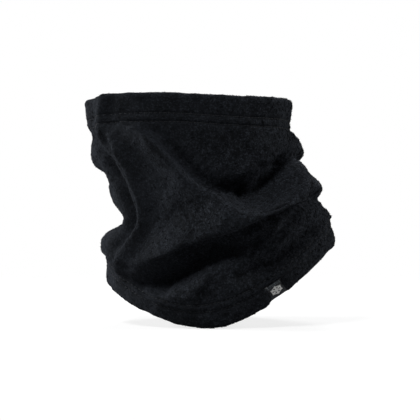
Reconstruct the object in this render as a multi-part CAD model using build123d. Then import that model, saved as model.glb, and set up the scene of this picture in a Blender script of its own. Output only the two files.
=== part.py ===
from build123d import *
import math
import os
from functools import lru_cache
from typing import NamedTuple

# Neck gaiter: one panel of fleece sewn into a tube, hemmed at both ends and shown
# scrunched, as it sits when it is worn.
#
# Frame: millimetres, +Z up, the wearer's front towards -Y, and the origin on the floor
# under the middle of the box round the whole gaiter.
#
# A place on the cloth is (angle, run): degrees round the neck, from the front towards +X,
# and millimetres along the cloth from its bottom edge. Depth is measured off the outer
# face of the cloth: above nought outside it, below nought into the tube.

FLAT_WIDTH = 240.0
LENGTH = 220.0
CLOTH = 3.0
HEM = 22.0
HEM_THICKNESS = 2 * CLOTH + 0.4
GIRTH_RADIUS = 2 * FLAT_WIDTH / (2 * math.pi)

NEEDLE_ROWS = (14.0, 20.4)
THREAD = 0.8
THREAD_SINK = 0.3
LOOPER_MARGIN = 0.7

SEAM_ANGLE = 180.0
SEAM_ALLOWANCE = 7.0
SEAM_LAYERS = 4.0
SEAM_SINK = 0.6
OVERLOCK_WRAP = 3.5
OVERLOCK_THREAD = 0.5
OVERLOCK_GAP = 0.05

LABEL_ANGLE = 37.0
LABEL_WIDTH = 11.0
LABEL_FLAP = 11.5
LABEL_CLOTH = 0.6
LABEL_GAP = 0.1
EMBLEM_RADIUS = 3.6
EMBLEM_ARM = 0.8
EMBLEM_THICKNESS = 0.35

LABEL_THREAD = 0.45
LABEL_STITCH_ROWS = (8.9, 10.2)

CARE_WIDTH = 26.0
CARE_HEIGHT = 28.0
CARE_CLOTH = 0.5
CARE_ROLL = 0.5
CARE_ANGLE = 201.0
CARE_CLEARANCE = 1.3

FLOOR_LEVEL = 5.0
FLOOR_TRIM = 0.8
SECTION_STEP = 6.0
POINT_STEP = 6.0
TANGENT_REACH = 4.0


class Ring(NamedTuple):
    """One level round the tube: its plan outline and its heights every 45 degrees."""

    run: float
    centre_x: float
    half_width: float
    half_depth: float
    squareness: float
    heights: tuple


class Corner(NamedTuple):
    """A corner of a section: a place off the cloth, then moved level towards the axis."""

    run: float
    depth: float
    inward: float = 0.0


class Fold(NamedTuple):
    """A fold along a path of (angle, height): how far it stands out, droops and spreads."""

    path: tuple
    out: float
    droop: float
    width: float


RINGS = (
    Ring(0.0, 11.0, 82.0, 60.0, 2.2, (5, 33, 66, 28, -1, 22, 36, 16)),
    Ring(22.0, 6.5, 81.0, 66.0, 2.4, (24, 54, 82, 48, 20, 40, 57, 34)),
    Ring(60.0, 3.5, 79.0, 67.0, 2.5, (45, 72, 93, 66, 44, 58, 69, 51)),
    Ring(115.0, 3.5, 71.0, 62.0, 2.3, (88, 98, 108, 100, 85, 87, 84, 86)),
    Ring(198.0, -14.0, 73.0, 64.0, 2.9, (148, 146, 144, 139, 136, 138, 143, 149)),
    Ring(220.0, -14.5, 75.5, 66.0, 3.0, (169.5, 168, 165.5, 160, 157, 159, 164.5, 170.5)),
)

FOLDS = {
    "swag": Fold(((-44, 150), (-32, 138), (-20, 122), (-7, 107), (9, 100), (23, 102), (40, 115),
                  (60, 126), (95, 132)), 10, 5, 11),
    "swag_pocket": Fold(((-22, 140), (-8, 124), (10, 115), (30, 118), (47, 129), (64, 140)), -9, 0, 13),
    "roll": Fold(((-75, 35), (-58, 46), (-29, 58), (-6, 71), (12, 86), (29, 98), (55, 108), (92, 108)),
                 10, 7, 12),
    "roll_pocket": Fold(((-45, 34), (-20, 40), (-5, 48), (10, 60), (28, 71), (50, 86), (75, 94)), -11, 0, 9),
    "shelf": Fold(((-12, 28), (-4, 38), (4, 50), (25, 67), (52, 83), (78, 93)), 6, 3, 8),
    "side_ridge": Fold(((-58, 148), (-54, 131), (-50, 108), (-49, 90), (-48, 78), (-53, 66),
                        (-60, 52), (-66, 38), (-70, 28)), 5, 0, 7),
    "side_groove": Fold(((-70, 135), (-66, 110), (-64, 92), (-63, 78), (-68, 66), (-74, 52)), -5, 0, 7),
    "upper_left_lobe": Fold(((-75, 128), (-95, 126), (-125, 130)), 5, 2, 10),
    "waist_crease": Fold(((-70, 81), (-95, 81), (-120, 86)), -4, 0, 9),
    "lower_left_lobe": Fold(((-73, 48), (-86, 57), (-102, 61), (-120, 60)), 5, 0, 11),
    "upper_right_lobe": Fold(((72, 141), (95, 141), (122, 138)), 4, 0, 8),
    "high_right_notch": Fold(((70, 153), (95, 153), (120, 150)), -3, 0, 7),
    "low_right_notch": Fold(((60, 124), (80, 125), (100, 124), (125, 119)), -4, 0, 6),
    "high_back_roll": Fold(((105, 128), (140, 118), (180, 114), (215, 120), (245, 122)), 8, 4, 11),
    "low_back_roll": Fold(((100, 88), (140, 74), (180, 68), (220, 76), (245, 74)), 9, 4, 11),
    "low_back_pocket": Fold(((115, 72), (145, 56), (180, 46), (215, 54), (240, 56)), -4, 0, 10),
}


def smooth(value):
    """A smooth step from 0 at 0 to 1 at 1."""
    t = min(1.0, max(0.0, value))
    return t * t * (3 - 2 * t)


@lru_cache(maxsize=None)
def height_round(heights, angle):
    """Height at an angle: the smooth periodic curve through eight heights, cut off at the floor."""
    total = 0.0
    for place, height in enumerate(heights):
        turn = math.radians(angle - 45.0 * place)
        total += height * (1 + 2 * sum(math.cos(k * turn) for k in (1, 2, 3)) + math.cos(4 * turn)) / 8
    return max(total, FLOOR_LEVEL)


def hermite(stops, values, at):
    """A smooth curve through the values at the stops."""
    last = len(stops) - 1
    i = max(0, min(last - 1, sum(stop <= at for stop in stops) - 1))

    def slope(k):
        low, high = max(0, k - 1), min(last, k + 1)
        return (values[high] - values[low]) / (stops[high] - stops[low])

    span = stops[i + 1] - stops[i]
    t = (at - stops[i]) / span
    return ((2 * t**3 - 3 * t**2 + 1) * values[i] + (t**3 - 2 * t**2 + t) * span * slope(i)
            + (3 * t**2 - 2 * t**3) * values[i + 1] + (t**3 - t**2) * span * slope(i + 1))


def plan_radius(angle, centre_x, half_width, half_depth, squareness):
    """Distance from the neck's axis to a rounded-square outline, along one angle."""
    across, ahead = math.sin(math.radians(angle)), math.cos(math.radians(angle))
    near, far = 0.0, 2 * half_width
    for _ in range(30):
        middle = (near + far) / 2
        size = (abs((middle * across - centre_x) / half_width) ** squareness
                + abs(middle * ahead / half_depth) ** squareness)
        near, far = (middle, far) if size < 1 else (near, middle)
    return near


def path_distance(path, angle, height):
    """Distance over the cloth to a fold's path, and how far along the path that is."""
    points = [(math.radians(a) * GIRTH_RADIUS, z) for a, z in path]
    turn = 2 * math.pi * GIRTH_RADIUS
    middle = (points[0][0] + points[-1][0]) / 2
    x = math.radians(angle) * GIRTH_RADIUS
    x += turn * round((middle - x) / turn)
    lengths = [math.dist(a, b) for a, b in zip(points, points[1:])]
    nearest, share, before = math.inf, 0.0, 0.0
    for (ax, az), (bx, bz), length in zip(points, points[1:], lengths):
        t = min(1.0, max(0.0, ((x - ax) * (bx - ax) + (height - az) * (bz - az)) / length**2))
        distance = math.hypot(ax + t * (bx - ax) - x, az + t * (bz - az) - height)
        if distance < nearest:
            nearest, share = distance, (before + t * length) / sum(lengths)
        before += length
    return nearest, share


@lru_cache(maxsize=None)
def cloth_point(angle, run):
    """Radius and height of the cloth's outer face."""
    if run < 0:
        (r0, z0), (r1, z1) = cloth_point(angle, 0.0), cloth_point(angle, 4.0)
        return r0 + run * (r1 - r0) / 4.0, z0 + run * (z1 - z0) / 4.0
    stops = [ring.run for ring in RINGS]
    plan = [hermite(stops, [ring[k] for ring in RINGS], run) for k in range(1, 5)]
    radius = plan_radius(angle, *plan)
    height = hermite(stops, [height_round(ring.heights, angle) for ring in RINGS], run)
    level = height
    free = smooth((run - 0.6 * HEM) / (0.9 * HEM)) * smooth((LENGTH - 0.6 * HEM - run) / (0.9 * HEM))
    for fold in FOLDS.values():
        distance, share = path_distance(fold.path, angle, level)
        fade = 0.35 + 0.65 * smooth(share / 0.2) * smooth((1 - share) / 0.2)
        push = free * fade * math.exp(-(distance / fold.width) ** 2)
        radius += fold.out * push
        height -= fold.droop * push
    return radius, height


def off_cloth(angle, run, depth):
    """Radius and height of a place at some depth off the cloth's outer face."""
    low, high = max(0.0, run - TANGENT_REACH), min(LENGTH, run + TANGENT_REACH)
    (r0, z0), (r1, z1) = cloth_point(angle, low), cloth_point(angle, high)
    length = math.hypot(r1 - r0, z1 - z0)
    radius, height = cloth_point(angle, run)
    return radius + depth * (z1 - z0) / length, height - depth * (r1 - r0) / length


def place(angle, radius, height):
    """A point in space from an angle, a radius and a height."""
    turn = math.radians(angle)
    return Vector(radius * math.sin(turn), -radius * math.cos(turn), height)


def section_point(angle, corner):
    """Where a section's corner is in space."""
    radius, height = off_cloth(angle, corner.run, corner.depth)
    return place(angle, radius - corner.inward, height)


def section_edge(angle, start, end):
    """One side of a section: a spline along the cloth, or a line through it."""
    span = abs(end.run - start.run)
    if start[1:] != end[1:] or span < 2.0:
        return Edge.make_line(section_point(angle, start), section_point(angle, end))
    count = max(4, round(span / POINT_STEP) + 1)
    shares = [k / (count - 1) for k in range(count)]
    stops = [start._replace(run=start.run + t * (end.run - start.run)) for t in shares]
    return Edge.make_spline([section_point(angle, stop) for stop in stops], parameters=shares)


def section(angle, corners):
    """The outline that joins the corners, in the plane through the neck's axis."""
    corners = [Corner(*corner) for corner in corners]
    return Wire([section_edge(angle, a, b) for a, b in zip(corners, corners[1:] + corners[:1])])


def strip(corners, first, last, step=SECTION_STEP):
    """A solid of one cross-section laid round the tube from one angle to another."""
    count = max(2, math.ceil(abs(last - first) / step) + 1)
    angles = [first + k * (last - first) / (count - 1) for k in range(count)]
    return Solid.make_loft([section(angle, corners) for angle in angles])


def ring(corners):
    """A solid of one cross-section laid all the way round the tube."""
    return strip(corners, 0.0, 180.0) + strip(corners, 180.0, 360.0)


def fleece_panel():
    """The panel with its two hems, turned once to the inside."""
    inner = -HEM_THICKNESS
    corners = [(0.0, 0.0), (LENGTH, 0.0), (LENGTH, inner), (LENGTH - HEM, inner),
               (LENGTH - HEM, -CLOTH), (HEM, -CLOTH), (HEM, inner), (0.0, inner)]
    return ring(corners)


def needle_thread(run):
    """One row of needle thread, lying in the face of the fleece."""
    low, high = run - THREAD / 2, run + THREAD / 2
    return ring([(low, -THREAD_SINK), (high, -THREAD_SINK), (high, THREAD - THREAD_SINK),
                 (low, THREAD - THREAD_SINK)])


def looper_thread(low, high):
    """The looper thread, which covers the raw edge of a hem on the inside."""
    outer = -HEM_THICKNESS + THREAD_SINK
    inner = outer - THREAD
    return ring([(low, inner), (high, inner), (high, outer), (low, outer)])


def arc_angle(width, angle, run):
    """Angle that a width covers along the cloth at one place."""
    return math.degrees(width / cloth_point(angle, run)[0])


def seam_edge():
    """Angle of the free edge of the seam allowance."""
    return SEAM_ANGLE + arc_angle(SEAM_ALLOWANCE, SEAM_ANGLE, LENGTH / 2)


def seam_allowance():
    """The panel's two raw edges, laid to one side inside the back."""
    low, high, root = HEM - SEAM_SINK, LENGTH - HEM + SEAM_SINK, -CLOTH + SEAM_SINK
    rise = SEAM_LAYERS + SEAM_SINK
    return strip([(low, root), (high, root), (high, root, rise), (low, root, rise)],
                 SEAM_ANGLE, seam_edge(), 2.0)


def overlock_thread():
    """The overlock thread: one layer along the face of the seam allowance, one over its free edge."""
    low, high = HEM + 1.0, LENGTH - HEM - 1.0
    past = seam_edge() + arc_angle(OVERLOCK_THREAD, SEAM_ANGLE, LENGTH / 2)
    back = seam_edge() - arc_angle(OVERLOCK_WRAP, SEAM_ANGLE, LENGTH / 2)
    root, face = 0.3, SEAM_LAYERS

    def layer(bottom, crest, first, last):
        corners = [(low, -CLOTH, bottom), (high, -CLOTH, bottom), (high, -CLOTH, crest), (low, -CLOTH, crest)]
        return strip(corners, first, last, 2.0)

    return Compound([layer(face, face + OVERLOCK_THREAD, back, past),
                     layer(root, face - OVERLOCK_GAP, seam_edge(), past)])


def label_span():
    """First and last angle of the woven label."""
    half = arc_angle(LABEL_WIDTH / 2, LABEL_ANGLE, 0.0)
    return LABEL_ANGLE - half, LABEL_ANGLE + half


def woven_label():
    """The satin label, folded under the bottom edge and up the inside of the hem."""
    skin, cloth = LABEL_GAP, LABEL_CLOTH
    inside = -HEM_THICKNESS - skin
    return strip([(LABEL_FLAP, skin), (-skin, skin), (-skin, inside), (LABEL_FLAP, inside),
                  (LABEL_FLAP, inside - cloth), (-skin - cloth, inside - cloth),
                  (-skin - cloth, skin + cloth), (LABEL_FLAP, skin + cloth)], *label_span(), 3.0)


def label_plane(run, depth):
    """A plane on the label: X round the neck, Y up the cloth, Z away from it."""
    middle = place(LABEL_ANGLE, *off_cloth(LABEL_ANGLE, run, depth))
    beside = place(LABEL_ANGLE + 1, *off_cloth(LABEL_ANGLE + 1, run, depth))
    above = place(LABEL_ANGLE, *off_cloth(LABEL_ANGLE, run + 1, depth))
    across = beside - middle
    return Plane(middle, x_dir=across, z_dir=across.cross(above - middle))


def label_emblem():
    """A plain six-armed snowflake on the outer flap."""
    plane = label_plane(LABEL_FLAP / 2 - 0.6, LABEL_GAP + LABEL_CLOTH)
    arms = [plane * Rot(0, 0, 60 * k) * Box(EMBLEM_ARM, 2 * EMBLEM_RADIUS, EMBLEM_THICKNESS) for k in range(3)]
    return arms[0] + arms[1] + arms[2]


def label_stitches():
    """Two rows of thread that hold the outer flap, near its top edge."""
    first, last = label_span()
    inset = arc_angle(0.8, LABEL_ANGLE, 0.0)
    face = LABEL_GAP + LABEL_CLOTH - 0.15
    rows = []
    for run in LABEL_STITCH_ROWS:
        corners = [(run, face), (run + LABEL_THREAD, face), (run + LABEL_THREAD, face + LABEL_THREAD),
                   (run, face + LABEL_THREAD)]
        rows.append(strip(corners, first + inset, last - inset, 3.0))
    return rows[0] + rows[1]


def care_hinge():
    """The middle of the sewn edge of the care label: just inside the top hem, at the back."""
    radius, height = off_cloth(CARE_ANGLE, LENGTH - HEM, -HEM_THICKNESS - CARE_CLEARANCE - CARE_ROLL)
    return place(CARE_ANGLE, radius, height)


def care_label():
    """A blank satin tab that hangs from its sewn, rolled top edge."""
    hinge = care_hinge()
    roll = Pos(hinge) * Rot(0, 90, 0) * Cylinder(CARE_ROLL, CARE_WIDTH)
    tab = Pos(hinge - Vector(0, 0, CARE_HEIGHT / 2)) * Box(CARE_WIDTH, CARE_CLOTH, CARE_HEIGHT)
    return roll + tab


def build_parts():
    """Every node of the gaiter, standing on the floor with the origin under its middle."""
    row_one, row_two = NEEDLE_ROWS
    cover = LOOPER_MARGIN
    parts = {
        "fleece_panel": fleece_panel() + seam_allowance(),
        "bottom_hem_needle_thread_lower": needle_thread(row_one),
        "bottom_hem_needle_thread_upper": needle_thread(row_two),
        "bottom_hem_looper_thread": looper_thread(row_one - cover, row_two + cover),
        "top_hem_needle_thread_upper": needle_thread(LENGTH - row_one),
        "top_hem_needle_thread_lower": needle_thread(LENGTH - row_two),
        "top_hem_looper_thread": looper_thread(LENGTH - row_two - cover, LENGTH - row_one + cover),
        "back_seam_overlock_thread": overlock_thread(),
        "woven_label": woven_label(),
        "label_emblem": label_emblem(),
        "label_stitches": label_stitches(),
        "care_label": care_label(),
    }
    floor = FLOOR_LEVEL + FLOOR_TRIM
    below = Pos(0, 0, floor - 10) * Box(400, 400, 20)
    parts["fleece_panel"] -= below
    box = parts["fleece_panel"].bounding_box()
    move = Pos(-(box.min.X + box.max.X) / 2, -(box.min.Y + box.max.Y) / 2, -floor)
    return {name: move * shape for name, shape in parts.items()}


if __name__ == "__main__":
    os.makedirs("parts", exist_ok=True)
    for name, shape in build_parts().items():
        export_step(shape, f"parts/{name}.step")
        print(name, shape.is_valid, len(shape.solids()), round(shape.volume, 1))
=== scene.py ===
"""A slouched neck gaiter in black brushed fleece, with its sewing and its labels.

The shape is worked out in millimetres over a map of the cloth. A place on the map is
(angle, run): degrees round the neck from the wearer's front towards +X, and millimetres
along the cloth from its bottom edge. The CAD frame says where the gaiter stands.
"""

from __future__ import annotations

import logging
import math
from dataclasses import dataclass, field
from enum import Enum
from typing import Any

import bpy
import numpy as np
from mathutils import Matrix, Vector

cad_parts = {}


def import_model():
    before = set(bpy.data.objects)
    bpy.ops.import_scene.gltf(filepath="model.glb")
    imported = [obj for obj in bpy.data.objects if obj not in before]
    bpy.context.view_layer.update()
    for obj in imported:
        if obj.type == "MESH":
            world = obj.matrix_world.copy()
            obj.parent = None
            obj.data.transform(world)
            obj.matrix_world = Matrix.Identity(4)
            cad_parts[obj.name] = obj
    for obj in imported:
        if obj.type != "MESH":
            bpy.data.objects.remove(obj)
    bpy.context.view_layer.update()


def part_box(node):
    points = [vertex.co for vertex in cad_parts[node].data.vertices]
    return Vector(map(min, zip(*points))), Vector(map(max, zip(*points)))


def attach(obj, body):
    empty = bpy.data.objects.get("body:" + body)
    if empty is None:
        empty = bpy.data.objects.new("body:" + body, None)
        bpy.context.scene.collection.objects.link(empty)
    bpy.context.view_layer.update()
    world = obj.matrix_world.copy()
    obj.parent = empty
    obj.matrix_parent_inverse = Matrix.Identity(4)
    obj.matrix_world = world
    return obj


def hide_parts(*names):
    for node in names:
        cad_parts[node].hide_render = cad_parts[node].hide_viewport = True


LOG = logging.getLogger("neck_gaiter")
MM = 0.001
GAITER_BODY = "gaiter"
CARE_BODY = "care_tab"

Array = np.ndarray
Faces = list[tuple[int, ...]]


# ---------------------------------------------------------------- small tools


def linear(hex_colour: str) -> tuple[float, float, float, float]:
    """Turn an sRGB hex colour into linear values.

    Args:
        hex_colour: a mark and six hex digits.

    Returns:
        Linear red, green and blue, and an alpha of 1.
    """
    parts = [int(hex_colour[k : k + 2], 16) / 255 for k in (1, 3, 5)]
    red, green, blue = (c / 12.92 if c <= 0.04045 else ((c + 0.055) / 1.055) ** 2.4 for c in parts)
    return red, green, blue, 1.0


def add_node(
    tree: bpy.types.NodeTree,
    kind: str,
    values: dict[Any, Any] | None = None,
    links: dict[Any, bpy.types.NodeSocket] | None = None,
    **settings: Any,
) -> bpy.types.Node:
    """Add a node with its settings, its input values and its incoming links.

    Args:
        tree: the node tree.
        kind: the node's type name.
        values: input name or index to its value.
        links: input name or index to the socket that feeds it.
        settings: attributes of the node.

    Returns:
        The new node.
    """
    node = tree.nodes.new(kind)
    for name, value in settings.items():
        setattr(node, name, value)
    for key, value in (values or {}).items():
        node.inputs[key].default_value = value
    for key, source in (links or {}).items():
        tree.links.new(source, node.inputs[key])
    return node


def blank_material(name: str) -> tuple[bpy.types.Material, bpy.types.NodeTree]:
    """Make a material with an empty node tree.

    Args:
        name: the material's name.

    Returns:
        The material and its tree.
    """
    material = bpy.data.materials.new(name)
    material.use_nodes = True
    material.node_tree.nodes.clear()
    return material, material.node_tree


def smooth_step(value: Array) -> Array:
    """Smooth step from 0 at 0 to 1 at 1."""
    t = np.clip(value, 0.0, 1.0)
    return t * t * (3 - 2 * t)


def bump_at(distance: Array, width: float) -> Array:
    """Bell curve of a distance, 1 at nought."""
    return np.exp(-((distance / width) ** 2))


def mesh_object(name: str, points: Array, faces: Faces, smooth: bool = True) -> bpy.types.Object:
    """Make a mesh object from points in millimetres.

    Args:
        name: the piece's name.
        points: places, in millimetres, in the row frame.
        faces: vertex numbers of each face.
        smooth: whether the faces are shaded smooth.

    Returns:
        The linked object, at the origin.
    """
    mesh = bpy.data.meshes.new(name)
    mesh.from_pydata((np.asarray(points, float) * MM).tolist(), [], faces)
    mesh.update()
    mesh.polygons.foreach_set("use_smooth", [smooth] * len(mesh.polygons))
    piece = bpy.data.objects.new(name, mesh)
    bpy.context.scene.collection.objects.link(piece)
    return piece


def store(piece: bpy.types.Object, name: str, values: Array, kind: str = "FLOAT") -> None:
    """Store one value for each point of a piece's mesh.

    Args:
        piece: the piece.
        name: the attribute's name.
        values: one number or one vector for each point.
        kind: the attribute's type, FLOAT or FLOAT_VECTOR.
    """
    layer = piece.data.attributes.new(name, kind, "POINT")
    key = "value" if kind == "FLOAT" else "vector"
    layer.data.foreach_set(key, np.asarray(values, np.float32).ravel())


def store_weave(piece: bpy.types.Object, flat: Array) -> None:
    """Give a piece its weave map, which is in millimetres.

    Args:
        piece: the piece.
        flat: the place of each point on the flat weave.
    """
    corner = np.empty(len(piece.data.loops), np.int32)
    piece.data.loops.foreach_get("vertex_index", corner)
    layer = piece.data.uv_layers.new(name="weave")
    layer.data.foreach_set("uv", flat[corner].astype(np.float32).ravel())


def grid_faces(rows: int, columns: int, wrap_rows: bool, wrap_columns: bool) -> Faces:
    """Quads over a grid of points.

    Args:
        rows: number of rows.
        columns: number of columns.
        wrap_rows: whether the last row joins the first.
        wrap_columns: whether the last column joins the first.

    Returns:
        The faces, whose normals are column direction cross row direction.
    """
    faces = []
    for i in range(rows if wrap_rows else rows - 1):
        for j in range(columns if wrap_columns else columns - 1):
            up, on = (i + 1) % rows, (j + 1) % columns
            faces.append((i * columns + j, i * columns + on, up * columns + on, up * columns + j))
    return faces


def tube(route: Array, radius: float, sides: int = 5) -> tuple[Array, Faces]:
    """A closed tube along a route.

    Args:
        route: points along the middle, in millimetres.
        radius: the tube's radius.
        sides: number of its sides.

    Returns:
        Points and faces.
    """
    route = np.asarray(route, float)
    ahead = np.gradient(route, axis=0)
    ahead /= np.linalg.norm(ahead, axis=1, keepdims=True)
    turn = np.arange(sides)[:, None] * 2 * math.pi / sides
    across = np.cross(ahead[0], (0.0, 0.0, 1.0))
    if np.linalg.norm(across) < 0.1:
        across = np.cross(ahead[0], (0.0, 1.0, 0.0))
    rings = []
    for middle, way in zip(route, ahead):
        across = across - way * np.dot(across, way)
        across /= np.linalg.norm(across)
        rings.append(middle + radius * (np.cos(turn) * across + np.sin(turn) * np.cross(way, across)))
    last = (len(route) - 1) * sides
    caps = [tuple(range(sides))[::-1], tuple(range(last, last + sides))]
    return np.concatenate(rings), grid_faces(len(route), sides, False, True) + caps


def smooth_route(points: list[tuple[float, ...]], each: int = 2, more: int = 1) -> Array:
    """A smooth line through a few points.

    Args:
        points: the points that it passes.
        each: number of places on each stretch, from one point to the next.
        more: how many more the last stretch has, where the line ends on its last point.

    Returns:
        The places along the line.
    """
    p = np.array(points, float)
    p = np.vstack([2 * p[0] - p[1], p, 2 * p[-1] - p[-2]])
    stretches = []
    for i in range(len(p) - 3):
        last = i == len(p) - 4
        t = np.linspace(0, 1, each + more * last, endpoint=last)[:, None]
        a, b, c, d = p[i : i + 4]
        stretches.append(0.5 * (2 * b + (c - a) * t + (2 * a - 5 * b + 4 * c - d) * t**2
                                + (3 * b - a - 3 * c + d) * t**3))
    return np.vstack(stretches)


def shell(outer: Array, inner: Array) -> tuple[Array, Faces]:
    """A closed skin round two grids of points that lie face to face.

    Args:
        outer: rows by columns of places on the outer face.
        inner: the same on the inner face.

    Returns:
        Points and faces.
    """
    rows, columns = outer.shape[:2]
    faces = grid_faces(2 * rows, columns, True, False)
    last = columns - 1
    for i in range(rows - 1):
        a, b, c, d = (k * columns for k in (i, i + 1, 2 * rows - 1 - i, 2 * rows - 2 - i))
        faces += [(a, b, d, c), (c + last, d + last, b + last, a + last)]
    return np.concatenate([outer, inner[::-1]]).reshape(-1, 3), faces


def weave_map(piece: bpy.types.Object, across: Array, along: Array) -> None:
    """Give a shell its weave map.

    Args:
        piece: an object made by shell.
        across: distance across for each column.
        along: distance along for each row.
    """
    face = np.stack(np.meshgrid(across, along), -1)
    store_weave(piece, np.concatenate([face, face[::-1]]).reshape(-1, 2))


def plain_mesh(piece: bpy.types.Object) -> None:
    """Bake a piece's modifiers into its mesh, and leave it without any.

    Args:
        piece: an object with modifiers.
    """
    evaluated = piece.evaluated_get(bpy.context.evaluated_depsgraph_get())
    mesh = bpy.data.meshes.new_from_object(evaluated)
    piece.modifiers.clear()
    piece.data = mesh


def dress(piece: bpy.types.Object, material: bpy.types.Material, slot: str, body: str, *nodes: str) -> None:
    """Give a piece its material and its body, and hide the nodes that it stands for.

    Args:
        piece: the piece.
        material: its material.
        slot: the record's material slot, which is not used.
        body: the CAD body that it moves with.
        nodes: CAD nodes that it replaces.
    """
    piece.data.materials.clear()
    piece.data.materials.append(material)
    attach(piece, body)
    if nodes:
        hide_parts(*nodes)
    LOG.info("%s: %d faces", piece.name, len(piece.data.polygons))


# ---------------------------------------------------------------- Geometry Nodes


class NodeRule:
    """A Geometry Nodes tree with named inputs, which copies one unit to many points."""

    def __init__(self, name: str, sockets: dict[str, str]) -> None:
        """Start the tree with its inputs and its output.

        Args:
            name: the tree's name.
            sockets: each input's name and its kind of socket, the geometry first.
        """
        self.tree = bpy.data.node_groups.new(name, "GeometryNodeTree")
        kinds = sockets | {"Unit": "NodeSocketObject", "Seed": "NodeSocketInt",
                           "Finish": "NodeSocketMaterial"}
        self.keys = {key: self.tree.interface.new_socket(key, in_out="INPUT", socket_type=kind).identifier
                     for key, kind in kinds.items()}
        self.tree.interface.new_socket("Laid", in_out="OUTPUT", socket_type="NodeSocketGeometry")
        self.given = add_node(self.tree, "NodeGroupInput").outputs

    def close(self, points: bpy.types.NodeSocket, turn: bpy.types.NodeSocket, size: bpy.types.NodeSocket) -> None:
        """End the tree: a unit on each point, made real and given its finish.

        Args:
            points: where the units go.
            turn: how each is turned.
            size: how large each is.
        """
        unit = add_node(self.tree, "GeometryNodeObjectInfo", {}, {"Object": self.given["Unit"]})
        laid = add_node(self.tree, "GeometryNodeInstanceOnPoints", {},
                        {"Points": points, "Instance": unit.outputs["Geometry"], "Rotation": turn,
                         "Scale": size})
        real = add_node(self.tree, "GeometryNodeRealizeInstances", {}, {"Geometry": laid.outputs[0]})
        done = add_node(self.tree, "GeometryNodeSetMaterial", {},
                        {"Geometry": real.outputs[0], "Material": self.given["Finish"]})
        add_node(self.tree, "NodeGroupOutput", {}, {0: done.outputs[0]})

    def apply(self, piece: bpy.types.Object, unit: bpy.types.Object, values: dict[str, Any]) -> bpy.types.Object:
        """Run the tree on a piece, and keep the result as its plain mesh.

        Args:
            piece: the object whose mesh goes in.
            unit: the object that is copied, which is removed afterwards.
            values: the other inputs' values.

        Returns:
            The same object.
        """
        modifier = piece.modifiers.new("rule", "NODES")
        modifier.node_group = self.tree
        for key, value in (values | {"Unit": unit}).items():
            modifier[self.keys[key]] = value
        plain_mesh(piece)
        bpy.data.objects.remove(unit)
        return piece


# ---------------------------------------------------------------- finishes


@dataclass(frozen=True)
class BrushedFleece:
    """Polyester fleece, knitted and brushed: matt, with clumps of pile and a cool bloom at its edges."""

    # Single curls of the pile are about 0.3 mm across, too fine to show, so they are drawn coarser.
    name: str = "brushed_polyester_fleece"
    root_colour: str = "#040506"
    # The tip colour is a painted highlight: a lighter cool grey on the tops of the pile clumps, where light
    # catches them. The root colour is the black fibre itself.
    tip_highlight_colour: str = "#34383f"
    sheen_colour: str = "#a9b4c8"
    clump_mm: float = 2.2
    curl_mm: float = 1.1
    wear_mm: float = 26.0
    roughness: float = 0.92

    def material(self) -> bpy.types.Material:
        """Build the material.

        Returns:
            A material that reads Object coordinates and the piece's nap attribute.
        """
        material, tree = blank_material(self.name)
        place = {"Vector": add_node(tree, "ShaderNodeTexCoord").outputs["Object"]}
        nap = add_node(tree, "ShaderNodeAttribute", attribute_name="nap").outputs["Fac"]
        clump = add_node(tree, "ShaderNodeTexNoise", {"Scale": 1 / (self.clump_mm * MM), "Detail": 2.0,
                         "Roughness": 0.6, "Distortion": 1.1}, place).outputs["Fac"]
        curl = add_node(tree, "ShaderNodeTexVoronoi", {"Scale": 1 / (self.curl_mm * MM), "Randomness": 1.0},
                        place, feature="F1").outputs["Distance"]
        drift = add_node(tree, "ShaderNodeTexNoise", {"Scale": 1 / (self.wear_mm * MM), "Detail": 2.0},
                         place).outputs["Fac"]
        peaks = add_node(tree, "ShaderNodeMapRange", {"From Min": 0.42, "From Max": 0.6, "To Min": 0.0,
                         "To Max": 1.0}, {"Value": clump}).outputs["Result"]
        tuft = add_node(tree, "ShaderNodeMapRange", {"From Min": 0.0, "From Max": 0.75, "To Min": 1.0,
                        "To Max": 0.0}, {"Value": curl}).outputs["Result"]
        pile = add_node(tree, "ShaderNodeMath", {}, {0: peaks, 1: tuft}, operation="MULTIPLY").outputs[0]
        lively = add_node(tree, "ShaderNodeMapRange", {"From Min": 0.0, "From Max": 1.0, "To Min": 0.35,
                          "To Max": 1.0}, {"Value": nap}).outputs["Result"]
        shown = add_node(tree, "ShaderNodeMath", {}, {0: pile, 1: lively}, operation="MULTIPLY").outputs[0]
        worn = add_node(tree, "ShaderNodeMapRange", {"From Min": 0.3, "From Max": 0.7, "To Min": 0.12,
                        "To Max": 0.3}, {"Value": drift}).outputs["Result"]
        mixed = add_node(tree, "ShaderNodeMath", {}, {0: shown, 1: worn}, operation="ADD",
                         use_clamp=True).outputs[0]
        # Painted highlight on the pile: the colour runs from the black fibre to the lighter tip grey on the clump
        # tops, more where the nap is rough, plus a slow random lift of tone from wear.
        colour = add_node(tree, "ShaderNodeMix", {"A": linear(self.root_colour), "B": linear(self.tip_highlight_colour)},
                          {"Factor": mixed}, data_type="RGBA")
        coarse = add_node(tree, "ShaderNodeBump", {"Strength": 0.8, "Distance": 1.2 * MM}, {"Height": clump})
        fine = add_node(tree, "ShaderNodeBump", {"Strength": 0.5, "Distance": 0.35 * MM},
                        {"Height": tuft, "Normal": coarse.outputs["Normal"]})
        shader = add_node(tree, "ShaderNodeBsdfPrincipled", {"Roughness": self.roughness, "IOR": 1.45,
                          "Specular IOR Level": 0.12, "Sheen Weight": 0.09, "Sheen Roughness": 0.45,
                          "Sheen Tint": linear(self.sheen_colour)},
                          {"Base Color": colour.outputs["Result"], "Normal": fine.outputs["Normal"]})
        add_node(tree, "ShaderNodeOutputMaterial", {}, {"Surface": shader.outputs["BSDF"]})
        return material


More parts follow.
